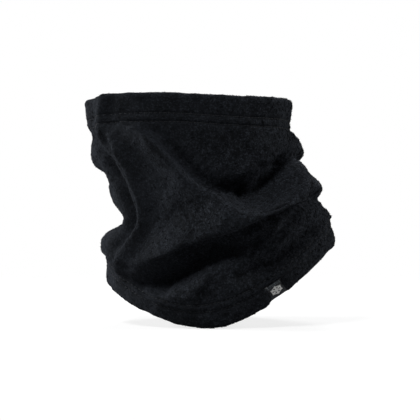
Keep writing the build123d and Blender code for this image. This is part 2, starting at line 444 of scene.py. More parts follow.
@dataclass(frozen=True)
class FleeceFibre:
    """Loose fibres that stand out of the fleece: fine polyester, a little lighter where light passes them."""

    name: str = "loose_fleece_fibre"
    dark: str = "#0a0b0d"
    light: str = "#24272c"

    def material(self) -> bpy.types.Material:
        """Build the material.

        Returns:
            A material whose shade varies from clump to clump.
        """
        material, tree = blank_material(self.name)
        place = add_node(tree, "ShaderNodeTexCoord").outputs["Object"]
        shade = add_node(tree, "ShaderNodeTexNoise", {"Scale": 1 / (3 * MM), "Detail": 2.0},
                         {"Vector": place}).outputs["Fac"]
        spread = add_node(tree, "ShaderNodeMapRange", {"From Min": 0.4, "From Max": 0.65},
                          {"Value": shade}).outputs["Result"]
        colour = add_node(tree, "ShaderNodeMix", {"A": linear(self.dark), "B": linear(self.light)},
                          {"Factor": spread}, data_type="RGBA")
        shader = add_node(tree, "ShaderNodeBsdfPrincipled", {"Roughness": 0.85, "Specular IOR Level": 0.1,
                          "Sheen Weight": 0.05, "Sheen Roughness": 0.4},
                          {"Base Color": colour.outputs["Result"]})
        add_node(tree, "ShaderNodeOutputMaterial", {}, {"Surface": shader.outputs["BSDF"]})
        return material


@dataclass(frozen=True)
class SpunThread:
    """Spun polyester sewing thread: two plies twisted together, with a soft sheen along each stitch."""

    # A twist in thread this fine repeats about every 0.5 mm, which is as coarse as it needs to show.
    name: str
    colour: str
    light: str
    twist_mm: float = 0.5

    def material(self) -> bpy.types.Material:
        """Build the material.

        Returns:
            A material with the twist as bands on Object coordinates.
        """
        material, tree = blank_material(self.name)
        place = add_node(tree, "ShaderNodeTexCoord").outputs["Object"]
        twist = add_node(tree, "ShaderNodeTexWave", {"Scale": 0.31 / (self.twist_mm * MM), "Distortion": 1.5,
                         "Detail": 1.0}, {"Vector": place}, bands_direction="DIAGONAL").outputs["Fac"]
        colour = add_node(tree, "ShaderNodeMix", {"A": linear(self.colour), "B": linear(self.light)},
                          {"Factor": twist}, data_type="RGBA")
        bump = add_node(tree, "ShaderNodeBump", {"Strength": 0.5, "Distance": 0.12 * MM}, {"Height": twist})
        shader = add_node(tree, "ShaderNodeBsdfPrincipled", {"Roughness": 0.68, "Specular IOR Level": 0.3,
                          "Sheen Weight": 0.06, "Sheen Roughness": 0.35},
                          {"Base Color": colour.outputs["Result"], "Normal": bump.outputs["Normal"]})
        add_node(tree, "ShaderNodeOutputMaterial", {}, {"Surface": shader.outputs["BSDF"]})
        return material


@dataclass(frozen=True)
class WovenRibbon:
    """Satin ribbon, woven of fine filament: a smooth face with a faint rib and a soft highlight."""

    # The picks of satin are about 0.1 mm apart, too fine to show, so the rib is drawn coarser.
    name: str
    colour: str
    rib_colour: str
    roughness: float = 0.42
    rib_mm: float = 0.6

    def material(self) -> bpy.types.Material:
        """Build the material.

        Returns:
            A material whose rib follows the piece's own UV map, which is in millimetres.
        """
        material, tree = blank_material(self.name)
        place = add_node(tree, "ShaderNodeUVMap", uv_map="weave").outputs["UV"]
        rib = add_node(tree, "ShaderNodeTexWave", {"Scale": 0.31 / self.rib_mm, "Distortion": 0.4},
                       {"Vector": place}, bands_direction="Y").outputs["Fac"]
        warp = add_node(tree, "ShaderNodeTexWave", {"Scale": 0.31 / (0.7 * self.rib_mm), "Distortion": 0.3},
                        {"Vector": place}, bands_direction="X").outputs["Fac"]
        cross = add_node(tree, "ShaderNodeMath", {}, {0: rib, 1: warp}, operation="MULTIPLY").outputs[0]
        colour = add_node(tree, "ShaderNodeMix", {"A": linear(self.rib_colour), "B": linear(self.colour)},
                          {"Factor": cross}, data_type="RGBA")
        bump = add_node(tree, "ShaderNodeBump", {"Strength": 0.35, "Distance": 0.1 * MM}, {"Height": cross})
        shader = add_node(tree, "ShaderNodeBsdfPrincipled", {"Roughness": self.roughness, "Sheen Weight": 0.3,
                          "Sheen Roughness": 0.3}, {"Base Color": colour.outputs["Result"],
                          "Normal": bump.outputs["Normal"]})
        add_node(tree, "ShaderNodeOutputMaterial", {}, {"Surface": shader.outputs["BSDF"]})
        return material


@dataclass(frozen=True)
class StudioPaper:
    """White background paper: matt, and fading into the light round it, so that it has no far edge."""

    name: str = "studio_paper"
    colour: str = "#ffffff"
    bounce_colour: str = "#9c9c9c"
    glow: float = 0.75
    solid_radius: float = 0.22
    clear_radius: float = 0.7

    def material(self) -> bpy.types.Material:
        """Build the material.

        Returns:
            A material that is solid under the object and clear further out.
        """
        material, tree = blank_material(self.name)
        place = add_node(tree, "ShaderNodeTexCoord").outputs["Object"]
        far = add_node(tree, "ShaderNodeVectorMath", {}, {0: place}, operation="LENGTH").outputs["Value"]
        fade = add_node(tree, "ShaderNodeMapRange",
                        {"From Min": self.solid_radius, "From Max": self.clear_radius},
                        {"Value": far}, interpolation_type="SMOOTHSTEP").outputs["Result"]
        glow = add_node(tree, "ShaderNodeEmission", {"Color": linear(self.colour), "Strength": self.glow})
        bounce = add_node(tree, "ShaderNodeBsdfDiffuse", {"Color": linear(self.bounce_colour)})
        seen = add_node(tree, "ShaderNodeAddShader", {}, {0: glow.outputs[0], 1: bounce.outputs[0]})
        path = add_node(tree, "ShaderNodeLightPath")
        paper = add_node(tree, "ShaderNodeMixShader", {}, {0: path.outputs["Is Camera Ray"],
                         1: bounce.outputs[0], 2: seen.outputs[0]})
        clear = add_node(tree, "ShaderNodeBsdfTransparent")
        mixed = add_node(tree, "ShaderNodeMixShader", {}, {0: fade, 1: paper.outputs[0], 2: clear.outputs[0]})
        add_node(tree, "ShaderNodeOutputMaterial", {}, {"Surface": mixed.outputs[0]})
        return material


BLACK_FLEECE = BrushedFleece()
FLEECE_FIBRE = FleeceFibre()
BLACK_THREAD = SpunThread("black_spun_thread", "#0b0c0e", "#2e3238")
GREY_THREAD = SpunThread("grey_spun_thread", "#42484d", "#7d858b")
GREY_SATIN = WovenRibbon("slate_satin_ribbon", "#30343a", "#202328")
WHITE_FIGURE = WovenRibbon("white_figured_weave", "#f6f6f4", "#dcdcda", 0.6)
WHITE_SATIN = WovenRibbon("white_label_satin", "#e9e8e4", "#cfcec9", 0.38, 0.5)


# ---------------------------------------------------------------- the shape of the cloth


@dataclass(frozen=True)
class Ring:
    """One level round the tube: its plan outline, and its heights every 45 degrees from the front.

    The outline is an ellipse at a squareness of 2, and closer to a rectangle above that.
    """

    run: float
    centre_x: float
    half_width: float
    half_depth: float
    squareness: float
    heights: tuple[float, ...]


@dataclass(frozen=True)
class Fold:
    """A fold along a path of (angle, height): how far it stands out, droops, leans and spreads.

    A pocket, groove, pleat or notch has an out below nought. Only a fold that reaches the hem acts on it.
    """

    path: tuple[tuple[float, float], ...]
    out: float
    width: float
    droop: float = 0.0
    lean: float = 0.0
    reaches_hem: bool = False


RINGS = (
    Ring(0.0, 9.5, 83.5, 60.0, 2.2, (5, 28.5, 64.5, 28, -1, 22, 35, 16.5)),
    Ring(22.0, 6.5, 81.0, 66.0, 2.4, (24, 52, 82, 48, 20, 40, 57, 34)),
    Ring(60.0, 3.5, 79.0, 67.0, 2.5, (45, 72, 93, 66, 44, 58, 69, 51)),
    Ring(115.0, 3.5, 71.0, 62.0, 2.3, (88, 98, 108, 100, 85, 87, 84, 86)),
    Ring(198.0, -14.0, 73.0, 64.0, 2.9, (148, 146, 144, 139, 136, 138, 143, 149)),
    Ring(220.0, -14.5, 75.5, 66.0, 3.0, (169.5, 168, 165.5, 160, 157, 159, 164.5, 170.5)),
)
# The lowest that the outer face goes, and how far the two rows of needle thread are from a hem's edge.
FLOOR = 5.0
NEEDLE_ROWS = (14.0, 20.4)
# Where the rows of points lie as the cloth turns over an edge, in degrees.
RIM_TURNS = (30.0, 60.0, 90.0, 120.0, 150.0)
# Waves round the tube: how many, and their length along it, size and start.
WAVES = ((13, 47.0, 0.3, 1.3), (-22, 33.0, 0.2, 0.4), (31, 21.0, 0.16, 2.1), (-43, 15.0, 0.12, 3.7))
# A fold's line has this many points, and fades over this share of its length to this share of its strength.
FOLD_POINTS = 150
FADE_LENGTH = 0.2
END_STRENGTH = 0.35

# Each fold is named for what it is on the gaiter, seen by someone who looks at its front.
FOLDS = {
    "swag": Fold(((-46, 148), (-34, 133), (-20, 112), (-8, 98), (8, 90), (24, 91), (38, 98), (50, 108),
                  (62, 118), (74, 125)), 11, 6, droop=-6),
    "swag_lip": Fold(((-40, 144), (-30, 129), (-20, 115), (-10, 104), (2, 96), (12, 93)), 3.4, 2.8,
                     droop=-2.5),
    "swag_end_lobe": Fold(((70, 127), (95, 130), (120, 130)), 6.5, 8),
    "swag_pocket": Fold(((-30, 143), (-18, 123), (-6, 110), (8, 102), (24, 103), (38, 111), (54, 124)), -6, 7),
    "swag_pocket_end": Fold(((14, 102), (28, 105), (40, 112), (54, 124), (62, 131)), -10, 6.5, droop=3),
    "belly": Fold(((-34, 106), (-20, 94), (-4, 87), (12, 86), (28, 92), (44, 104)), 6, 12),
    "roll": Fold(((-44, 55), (-34, 62), (-18, 73), (-4, 79), (10, 85), (24, 93), (38, 101), (55, 108),
                  (74, 109)), 9.8, 7.5, droop=10),
    "roll_lip": Fold(((6, 80), (20, 87), (34, 95), (48, 101), (64, 105)), 2.6, 3, droop=3),
    "roll_end_lobe": Fold(((66, 108), (95, 105), (120, 102)), 7, 8),
    "roll_pocket": Fold(((-42, 35), (-20, 44), (-5, 52), (10, 62), (24, 71)), -18, 7.5),
    "roll_pocket_end": Fold(((26, 80), (38, 87), (52, 94), (70, 98)), -8, 5.5),
    "left_hem_hollow": Fold(((-50, 33), (-38, 32), (-24, 35)), -6, 6),
    "shelf": Fold(((-10, 30), (-4, 43), (6, 56), (21, 71), (39, 85), (50, 91), (62, 94), (76, 95)), 8, 6,
                  droop=2),
    "shelf_end_lobe": Fold(((74, 88), (95, 84), (120, 82)), 2, 7),
    "first_shelf_crease": Fold(((-5, 34), (2, 54)), 1.9, 3.2),
    "second_shelf_crease": Fold(((8, 46), (14, 66)), 1.9, 3.0),
    "third_shelf_crease": Fold(((20, 56), (27, 77)), 1.8, 3.2),
    "fourth_shelf_crease": Fold(((34, 68), (42, 88)), 1.4, 3.4),
    "hem_pocket": Fold(((18, 42), (30, 49), (45, 60), (58, 71), (70, 80)), -7, 5.5),
    "side_ridge": Fold(((-56, 150), (-51, 137), (-48, 124), (-45, 112), (-42, 98), (-41, 88), (-42, 79),
                        (-47, 65), (-51, 54), (-54, 44), (-60, 32)), 7, 3.8, lean=2),
    "side_groove": Fold(((-68, 137), (-63, 120), (-59, 104), (-57, 88), (-57, 78), (-62, 66), (-68, 52)),
                        -8, 6),
    "upper_left_lobe": Fold(((-75, 128), (-95, 126), (-125, 130)), 3.5, 10, droop=3),
    "upper_left_pleat": Fold(((-80, 112), (-100, 110), (-125, 112)), -8, 7),
    "hem_corner": Fold(((-54, 178), (-54, 168), (-56, 158), (-58, 146), (-62, 134)), 5, 4, reaches_hem=True),
    "hem_hollow": Fold(((-68, 178), (-68, 160), (-70, 144)), -3.5, 5.5, reaches_hem=True),
    "upper_left_notch": Fold(((-80, 144), (-110, 144)), -9, 6),
    "waist_pleat": Fold(((-70, 82), (-95, 82), (-120, 86)), -8, 7),
    "lower_left_lobe": Fold(((-76, 54), (-88, 60), (-102, 63), (-120, 60)), 3.5, 10, droop=2),
    "upper_right_lobe": Fold(((72, 141), (95, 141), (122, 138)), 4, 7),
    "high_right_notch": Fold(((70, 153), (95, 153), (120, 150)), -4, 6),
    "high_right_pleat": Fold(((60, 124), (80, 125), (100, 124), (125, 119)), -10, 5.5),
    "low_right_pleat": Fold(((72, 96), (84, 95), (100, 94), (125, 91)), -5, 6),
    "high_back_roll": Fold(((105, 128), (140, 118), (180, 114), (215, 120), (245, 122)), 9, 10, droop=8),
    "high_back_pocket": Fold(((115, 106), (145, 98), (180, 94), (210, 99), (235, 102)), -12, 7.5),
    "low_back_roll": Fold(((100, 88), (140, 74), (180, 68), (220, 76), (245, 74)), 10, 11, droop=9),
    "low_back_pocket": Fold(((115, 72), (145, 56), (180, 46), (215, 54), (240, 56)), -11, 8),
}


@dataclass
class ClothMap:
    """The outer face of the cloth over (angle, run), as a grid that can be read anywhere."""

    length: float = 220.0
    flat_width: float = 240.0
    hem: float = 22.0
    columns: int = 240
    rows: int = 133
    places: Array = field(default_factory=lambda: np.zeros(0))
    normals: Array = field(default_factory=lambda: np.zeros(0))

    @property
    def girth_radius(self) -> float:
        """Radius of the tube when it is drawn round."""
        return self.flat_width / math.pi

    def grid_angles(self) -> Array:
        """Angles of the grid's columns."""
        return np.arange(self.columns) * 360.0 / self.columns

    def grid_runs(self) -> Array:
        """Runs of the grid's rows."""
        return np.linspace(0.0, self.length, self.rows)

    @staticmethod
    def heights_round(heights: tuple[float, ...], angle: Array) -> Array:
        """Heights at the angles: the smooth periodic curve through eight heights.

        Args:
            heights: heights at 0, 45, ... 315 degrees.
            angle: where to read it, in degrees.

        Returns:
            The heights, never below the floor.
        """
        total = np.zeros(np.shape(angle))
        for place, height in enumerate(heights):
            turn = np.radians(angle - 45.0 * place)
            total += height * (1 + 2 * sum(np.cos(k * turn) for k in (1, 2, 3)) + np.cos(4 * turn)) / 8
        return np.maximum(total, FLOOR)

    def between_rings(self, values: Array, run: Array) -> Array:
        """Read values given at the rings at other runs.

        Args:
            values: one row for each ring.
            run: where to read them.

        Returns:
            One row for each run, on a smooth curve through the rings.
        """
        stops = np.array([ring.run for ring in RINGS])
        slopes = np.empty_like(values)
        last = len(stops) - 1
        for k in range(len(stops)):
            low, high = max(0, k - 1), min(last, k + 1)
            slopes[k] = (values[high] - values[low]) / (stops[high] - stops[low])
        i = np.clip(np.searchsorted(stops, run, side="right") - 1, 0, last - 1)
        span = (stops[i + 1] - stops[i])[:, None]
        t = (run - stops[i])[:, None] / span
        return ((2 * t**3 - 3 * t**2 + 1) * values[i] + (t**3 - 2 * t**2 + t) * span * slopes[i]
                + (3 * t**2 - 2 * t**3) * values[i + 1] + (t**3 - t**2) * span * slopes[i + 1])

    def plan_radius(self, angle: Array, run: Array) -> Array:
        """Distance from the neck's axis to the unfolded tube.

        Args:
            angle: angles of the columns.
            run: runs of the rows.

        Returns:
            A grid of radii.
        """
        plan = np.array([[r.centre_x, r.half_width, r.half_depth, r.squareness] for r in RINGS])
        centre, width, depth, square = (c[:, None] for c in self.between_rings(plan, run).T)
        across, ahead = np.sin(np.radians(angle))[None], np.cos(np.radians(angle))[None]
        near, far = np.zeros((len(run), len(angle))), np.full((len(run), len(angle)), 200.0)
        for _ in range(40):
            middle = (near + far) / 2
            inside = (np.abs((middle * across - centre) / width) ** square
                      + np.abs(middle * ahead / depth) ** square < 1)
            near, far = np.where(inside, middle, near), np.where(inside, far, middle)
        return near

    def fold_strength(self, fold: Fold, round_mm: Array, height: Array) -> Array:
        """How strongly a fold acts over the grid.

        Args:
            fold: the fold.
            round_mm: distance round the tube of each place.
            height: height of each place.

        Returns:
            1 on the fold's middle, fading across it and towards its ends.
        """
        path = [(math.radians(angle) * self.girth_radius, up) for angle, up in fold.path]
        line = smooth_route(path, max(3, FOLD_POINTS // (len(path) - 1)), 0)
        steps = np.concatenate([[0.0], np.cumsum(np.hypot(*np.diff(line, axis=0).T))])
        girth = 2 * math.pi * self.girth_radius
        nearest, share = np.full(height.shape, 1e9), np.zeros(height.shape)
        for turn in (-girth, 0.0, girth):
            square = (round_mm[..., None] + turn - line[:, 0]) ** 2 + (height[..., None] - line[:, 1]) ** 2
            index = square.argmin(-1)
            here = np.take_along_axis(square, index[..., None], -1)[..., 0]
            share = np.where(here < nearest, steps[index] / steps[-1], share)
            nearest = np.minimum(nearest, here)
        whole = smooth_step(share / FADE_LENGTH) * smooth_step((1 - share) / FADE_LENGTH)
        return np.exp(-nearest / fold.width**2) * (END_STRENGTH + (1 - END_STRENGTH) * whole)

    @staticmethod
    def ripple(angle: Array, run: Array) -> Array:
        """Small waves that soft cloth has all over.

        Args:
            angle: angles of the columns.
            run: runs of the rows.

        Returns:
            A grid of distances.
        """
        turn, up = np.radians(angle)[None], run[:, None]
        return sum(size * np.sin(count * turn + 2 * math.pi * up / length + start)
                   for count, length, size, start in WAVES)

    def shape(self) -> None:
        """Fill the grid with the folded tube."""
        angle, run = self.grid_angles(), self.grid_runs()
        radius = self.plan_radius(angle, run)
        level = self.between_rings(np.array([self.heights_round(r.heights, angle) for r in RINGS]), run)
        height, turn = level.copy(), np.zeros(level.shape)
        round_mm = np.radians(angle)[None] * self.girth_radius * np.ones_like(level)
        radius += self.ripple(angle, run)
        low, high = (smooth_step((r - 0.6 * self.hem) / (0.9 * self.hem)) for r in (run, self.length - run))
        free = (low * high)[:, None]
        for fold in FOLDS.values():
            push = self.fold_strength(fold, round_mm, level) * (1.0 if fold.reaches_hem else free)
            radius += fold.out * push
            height -= fold.droop * push
            turn -= fold.lean * push / self.girth_radius
        turn += np.radians(angle)[None]
        self.places = np.stack([radius * np.sin(turn), -radius * np.cos(turn), height], -1)

    def place_in_frame(self) -> None:
        """Move the grid so that its top hem is where the frame's top hem thread is."""
        low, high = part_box("top_hem_needle_thread_upper")
        row = self.read(self.places, self.grid_angles(), np.array([self.length - NEEDLE_ROWS[0]]))[0]
        middle = (row.min(0) + row.max(0)) / 2
        self.places = self.places + np.array((low + high) / 2) / MM - middle

    def find_normals(self) -> None:
        """Work out smoothed outward normals over the grid."""
        across = np.roll(self.places, -1, 1) - np.roll(self.places, 1, 1)
        along = np.gradient(self.places, axis=0)
        normals = np.cross(across, along)
        normals /= np.linalg.norm(normals, axis=-1, keepdims=True)
        for _ in range(2):
            normals = (np.roll(normals, 1, 1) + 2 * normals + np.roll(normals, -1, 1)) / 4
            padded = np.concatenate([normals[:1], normals, normals[-1:]])
            normals = (padded[:-2] + 2 * normals + padded[2:]) / 4
        self.normals = normals / np.linalg.norm(normals, axis=-1, keepdims=True)

    def read(self, grid: Array, angle: Array, run: Array) -> Array:
        """Read a grid at any angles and runs, on smooth curves through its points.

        Args:
            grid: values over the map.
            angle: angles of the columns to read.
            run: runs of the rows to read.

        Returns:
            An array of rows by columns by values.
        """
        u = np.asarray(angle, float) * self.columns / 360.0
        v = np.clip(np.asarray(run, float) / self.length, 0, 1) * (self.rows - 1)

        def weights(t: Array) -> list[Array]:
            """Weights of the four points round a place, t of the way from the second to the third."""
            return [(-t + 2 * t**2 - t**3) / 2, (2 - 5 * t**2 + 3 * t**3) / 2,
                    (t + 4 * t**2 - 3 * t**3) / 2, (t**3 - t**2) / 2]

        i = np.clip(np.floor(v).astype(int), 0, self.rows - 2)
        j = np.floor(u).astype(int)
        rows = sum(w[:, None, None] * grid[np.clip(i + k - 1, 0, self.rows - 1)]
                   for k, w in enumerate(weights(v - i)))
        return sum(w[None, :, None] * rows[:, (j + k - 1) % self.columns]
                   for k, w in enumerate(weights(u - j)))

    def at(self, angle: Array, run: Array, depth: float | Array = 0.0) -> Array:
        """Places off the outer face, over a grid of angles and runs.

        Args:
            angle: angles of the columns.
            run: runs of the rows.
            depth: how far outside the face, below nought inside it.

        Returns:
            The places, rows by columns by three.
        """
        normal = self.read(self.normals, angle, run)
        normal /= np.linalg.norm(normal, axis=-1, keepdims=True)
        return self.read(self.places, angle, run) + normal * np.asarray(depth, float)[..., None]

    def frames(self, angle: Array, run: Array, depth: float | Array = 0.0) -> tuple[Array, Array, Array]:
        """Places with their directions, in one long list.

        Args:
            angle: angles of the columns.
            run: runs of the rows.
            depth: how far outside the outer face.

        Returns:
            The places, the way round the tube at each, and the way out at each.
        """
        step = 0.4
        places = self.at(angle, run, depth)
        ahead = self.at(np.asarray(angle) + step, run, depth) - self.at(np.asarray(angle) - step, run, depth)
        outward = self.read(self.normals, angle, run)
        return places.reshape(-1, 3), ahead.reshape(-1, 3), outward.reshape(-1, 3)

    def rim(self, angle: Array, run: float, turns: Array, way: float, reach: Array, middle: float) -> Array:
        """Rows of places round the rounded edge where the cloth turns to the inside.

        Args:
            angle: angles of the columns.
            run: where the turn starts.
            turns: how far round the edge each row is, in radians from the outer face.
            way: 1 at the top edge, -1 at the bottom edge.
            reach: radius of the turn at each column.
            middle: depth of the middle of the turn.

        Returns:
            Rows by columns of places.
        """
        at, reach = np.array([run]), np.asarray(reach, float)[..., None]
        centre = self.at(angle, at, middle)[0]
        normal = self.at(angle, at, 1.0)[0] - self.at(angle, at, 0.0)[0]
        ahead = self.at(angle, at + 1.5)[0] - self.at(angle, at - 1.5)[0]
        ahead *= way / np.linalg.norm(ahead, axis=-1, keepdims=True)
        return np.array([centre + reach * (np.cos(t) * normal + np.sin(t) * ahead) for t in turns])

    def spots(self, angle: Array, run: Array, depth: Array) -> Array:
        """Single places, one for each angle, run and depth."""
        return np.array([self.at(np.array([a]), np.array([r]), d)[0, 0] for a, r, d in zip(angle, run, depth)])


# ---------------------------------------------------------------- the fleece panel


@dataclass(frozen=True)
class HemPinch:
    """Where the woven label is wrapped tight round the bottom hem, which swells beside it."""

    girth_radius: float
    angle: float = 40.5
    width: float = 10.6
    flap: float = 14.0
    depth: float = 1.1
    swell: float = 0.9
    swell_width: float = 3.2
    lean: float = 0.64
    plan_radius: float = 71.0

    def middle(self, run: Array) -> Array:
        """Angle of the label's middle at each run: square to the hem's edge, which slopes here."""
        return self.angle - np.degrees(self.lean * (np.asarray(run, float) - self.flap / 2) / self.plan_radius)

    def press(self, angle: Array, run: Array) -> Array:
        """How far the hem's faces are pressed in, or below nought where they swell.

        Args:
            angle: angles of the columns.
            run: runs of the rows.

        Returns:
            A grid of distances.
        """
        off = np.radians((angle[None] - self.middle(run)[:, None] + 180) % 360 - 180) * self.girth_radius
        across = self.depth * np.exp(-((off / (0.56 * self.width)) ** 4))
        across -= self.swell * bump_at(np.abs(off) - 0.86 * self.width, self.swell_width)
        along = 1 - smooth_step((run - self.flap + 0.5) / 5.0)
        return along[:, None] * across


@dataclass
class FleecePanel:
    """The panel of fleece, closed at the back and hemmed at both ends."""

    cloth: ClothMap
    pinch: HemPinch
    thickness: float = 3.0
    hem_thickness: float = 6.4
    needle_rows: tuple[float, float] = NEEDLE_ROWS
    stitch_pitch: float = 3.2
    stitch_pull: float = 1.0
    row_swell: float = 0.25
    seam_angle: float = 180.0
    seam_groove: float = 1.5
    seam_swell: float = 0.5
    pucker: float = 0.45
    pucker_pitch: float = 11.0
    nap_height: float = 0.6
    nap_size: float = 2.6
    rubbed_nap: float = 0.25
    inside_nap: float = 0.45
    columns: int = 320
    row_gap: float = 1.6
    stitched_gap: float = 0.7

    def outer_runs(self) -> Array:
        """Runs of the outer face's rows, closer together by the stitching."""
        edge, length = self.hem_thickness / 2, self.cloth.length
        marks = [edge]
        while marks[-1] < length - edge:
            run = marks[-1]
            near = min(abs(run - r) for row in self.needle_rows for r in (row, length - row))
            marks.append(run + (self.stitched_gap if near < 2.4 else self.row_gap))
        marks[-1] = length - edge
        return np.array(marks)

    def stitching(self, angle: Array, run: Array) -> Array:
        """How the two rows of stitches pull the hems in.

        Args:
            angle: angles of the columns.
            run: runs of the rows.

        Returns:
            A depth over the grid, below nought.
        """
        round_mm = np.radians(angle)[None] * self.cloth.girth_radius
        pull = np.zeros((len(run), len(angle)))
        for row in self.needle_rows:
            for line in (row, self.cloth.length - row):
                each = 0.8 + 0.2 * np.cos(2 * math.pi * round_mm / self.stitch_pitch)
                pull -= self.stitch_pull * bump_at(run - line, 1.15)[:, None] * each
        between = sum(self.needle_rows) / 2
        for line in (between, self.cloth.length - between):
            pull += self.row_swell * bump_at(run - line, 2.0)[:, None]
        return pull

    def seam(self, angle: Array, run: Array) -> Array:
        """How the back seam draws the cloth in, with small puckers beside it.

        Args:
            angle: angles of the columns.
            run: runs of the rows.

        Returns:
            A depth over the grid, below nought.
        """
        off = np.radians((angle - self.seam_angle + 180) % 360 - 180) * self.cloth.girth_radius
        groove = -self.seam_groove * bump_at(off, 1.6)[None]
        swell = self.seam_swell * bump_at(np.abs(off) - 4.5, 3.0)[None]
        wave = np.sin(2 * math.pi * run / self.pucker_pitch + 0.6 * np.sin(run / 17.0))[:, None]
        return groove + swell + self.pucker * wave * bump_at(off, 8.0)[None]

    def build(self) -> bpy.types.Object:
        """Make the panel as one closed mesh.

        Returns:
            The fleece panel.
        """
        cloth, half, inner = self.cloth, self.hem_thickness / 2, -self.hem_thickness
        angle = np.arange(self.columns) * 360.0 / self.columns
        runs = self.outer_runs()
        face = self.stitching(angle, runs) + self.seam(angle, runs) - self.pinch.press(angle, runs)
        outer = cloth.at(angle, runs, face)
        turns = np.radians(RIM_TURNS)
        pressed = half - self.pinch.press(angle, np.array([half]))[0]
        top = cloth.rim(angle, cloth.length - half, turns, 1.0, np.full(self.columns, half), -half)
        bottom = cloth.rim(angle, half, turns[::-1], -1.0, pressed, -half)
        hem_top = np.linspace(cloth.length - half, cloth.length - cloth.hem, 12)
        wall = np.linspace(cloth.length - cloth.hem - 0.3, cloth.hem + 0.3, 90)
        hem_bottom = np.linspace(cloth.hem, half, 14)
        inside = [cloth.at(angle, hem_top, np.full((12, 1), inner)),
                  cloth.at(angle, wall, np.full((90, 1), -self.thickness)),
                  cloth.at(angle, hem_bottom, inner + self.pinch.press(angle, hem_bottom))]
        points = np.concatenate([outer, top, *inside, bottom])
        piece = mesh_object("fleece_panel_cloth", points.reshape(-1, 3),
                            grid_faces(len(points), self.columns, True, True))
        self.mark_nap(piece, angle, runs, len(points))
        self.raise_nap(piece)
        return piece

    def mark_nap(self, piece: bpy.types.Object, angle: Array, runs: Array, rows: int) -> None:
        """Store how rough the pile is: rubbed smooth on the wearer's right, fuzzy on the left.

        Args:
            piece: the panel.
            angle: angles of the columns.
            runs: runs of the outer face's rows.
            rows: rows of points in the mesh.
        """
        turn = (angle + 180) % 360 - 180
        whole = smooth_step((turn + 60) / 75) * smooth_step((200 - turn) / 60)
        fuzzy = self.rubbed_nap + (1 - self.rubbed_nap) * whole
        nap = np.tile(fuzzy, (rows, 1))
        for row in self.needle_rows:
            for line in (row, self.cloth.length - row):
                nap[: len(runs)] *= 1 - 0.85 * bump_at(runs - line, 1.2)[:, None]
        nap[: len(runs)] *= 1 - np.clip(self.pinch.press(angle, runs), 0, 1)
        nap[len(runs) + len(RIM_TURNS) :] *= self.inside_nap
        store(piece, "nap", nap)

    def raise_nap(self, piece: bpy.types.Object) -> None:
        """Give the pile its matted relief as real geometry.

        Args:
            piece: the panel.
        """
        pattern = bpy.data.textures.new("matted_pile", "CLOUDS")
        pattern.noise_scale = self.nap_size * MM
        pattern.noise_depth = 2
        modifier = piece.modifiers.new("nap", "DISPLACE")
        modifier.texture = pattern
        modifier.texture_coords = "LOCAL"
        modifier.strength = self.nap_height * MM
        modifier.mid_level = 0.5
        plain_mesh(piece)
        piece.data.polygons.foreach_set("use_smooth", [True] * len(piece.data.polygons))


# ---------------------------------------------------------------- what repeats


class Quarter(Enum):
    """A quarter of the tube, as the signs of X and Y there."""

    FRONT_RIGHT = (1.0, -1.0, 0.0)
    FRONT_LEFT = (-1.0, -1.0, 0.0)
    BACK_RIGHT = (1.0, 1.0, 0.0)
    BACK_LEFT = (-1.0, 1.0, 0.0)


class HemEnd(Enum):
    """The two hems."""

    TOP = "top"
    BOTTOM = "bottom"

    def run(self, cloth: ClothMap, from_edge: float) -> float:
        """Run of a line some way in from this hem's edge."""
        return cloth.length - from_edge if self is HemEnd.TOP else from_edge


@dataclass(frozen=True)
class UnitLayer:
    """Copies of one small shape, laid at given places with Geometry Nodes."""

    size_spread: float
    turn_spread: float
    seed: int

    def rule(self) -> NodeRule:
        """Build the tree, which turns each unit to its own two directions.

        Returns:
            The rule.
        """
        rule = NodeRule("lay_units", {"Guide": "NodeSocketGeometry", "Size Spread": "NodeSocketFloat",
                                      "Turn Spread": "NodeSocketFloat"})
        tree, given = rule.tree, rule.given
        along, out = (add_node(tree, "GeometryNodeInputNamedAttribute", {"Name": name},
                               data_type="FLOAT_VECTOR").outputs["Attribute"] for name in ("along", "out"))
        facing = add_node(tree, "FunctionNodeAlignRotationToVector", {}, {"Vector": along}, axis="X")
        standing = add_node(tree, "FunctionNodeAlignRotationToVector", {},
                            {"Vector": out, "Rotation": facing.outputs[0]}, axis="Z", pivot_axis="X")
        less = add_node(tree, "ShaderNodeMath", {1: -1.0}, {0: given["Turn Spread"]}, operation="MULTIPLY")
        turn = add_node(tree, "FunctionNodeRandomValue", {},
                        {2: less.outputs[0], 3: given["Turn Spread"], "Seed": given["Seed"]}, data_type="FLOAT")
        tip = add_node(tree, "ShaderNodeCombineXYZ", {}, {"Z": turn.outputs[1]})
        euler = add_node(tree, "FunctionNodeEulerToRotation", {}, {"Euler": tip.outputs[0]})
        turned = add_node(tree, "FunctionNodeRotateRotation", {}, {"Rotation": standing.outputs[0],
                          "Rotate By": euler.outputs[0]}, rotation_space="LOCAL")
        small, large = (add_node(tree, "ShaderNodeMath", {0: 1.0}, {1: given["Size Spread"]},
                                 operation=way).outputs[0] for way in ("SUBTRACT", "ADD"))
        size = add_node(tree, "FunctionNodeRandomValue", {},
                        {2: small, 3: large, "Seed": given["Seed"]}, data_type="FLOAT")
        rule.close(given["Guide"], turned.outputs[0], size.outputs[1])
        return rule

    def lay(self, name: str, unit: tuple[Array, Faces], places: Array, along: Array, out: Array,
            finish: bpy.types.Material) -> bpy.types.Object:
        """Lay a unit at each place.

        Args:
            name: the piece's name.
            unit: points and faces of one unit, with X along and Z outwards.
            places: where the units go, in millimetres.
            along: the way each unit's X points.
            out: the way each unit's Z points.
            finish: their material.

        Returns:
            One plain mesh of all of them.
        """
        guide = mesh_object(name, places, [])
        store(guide, "along", along, "FLOAT_VECTOR")
        store(guide, "out", out, "FLOAT_VECTOR")
        values = {"Size Spread": self.size_spread, "Turn Spread": self.turn_spread, "Seed": self.seed,
                  "Finish": finish}
        return self.rule().apply(guide, mesh_object(f"{name}_unit", *unit), values)


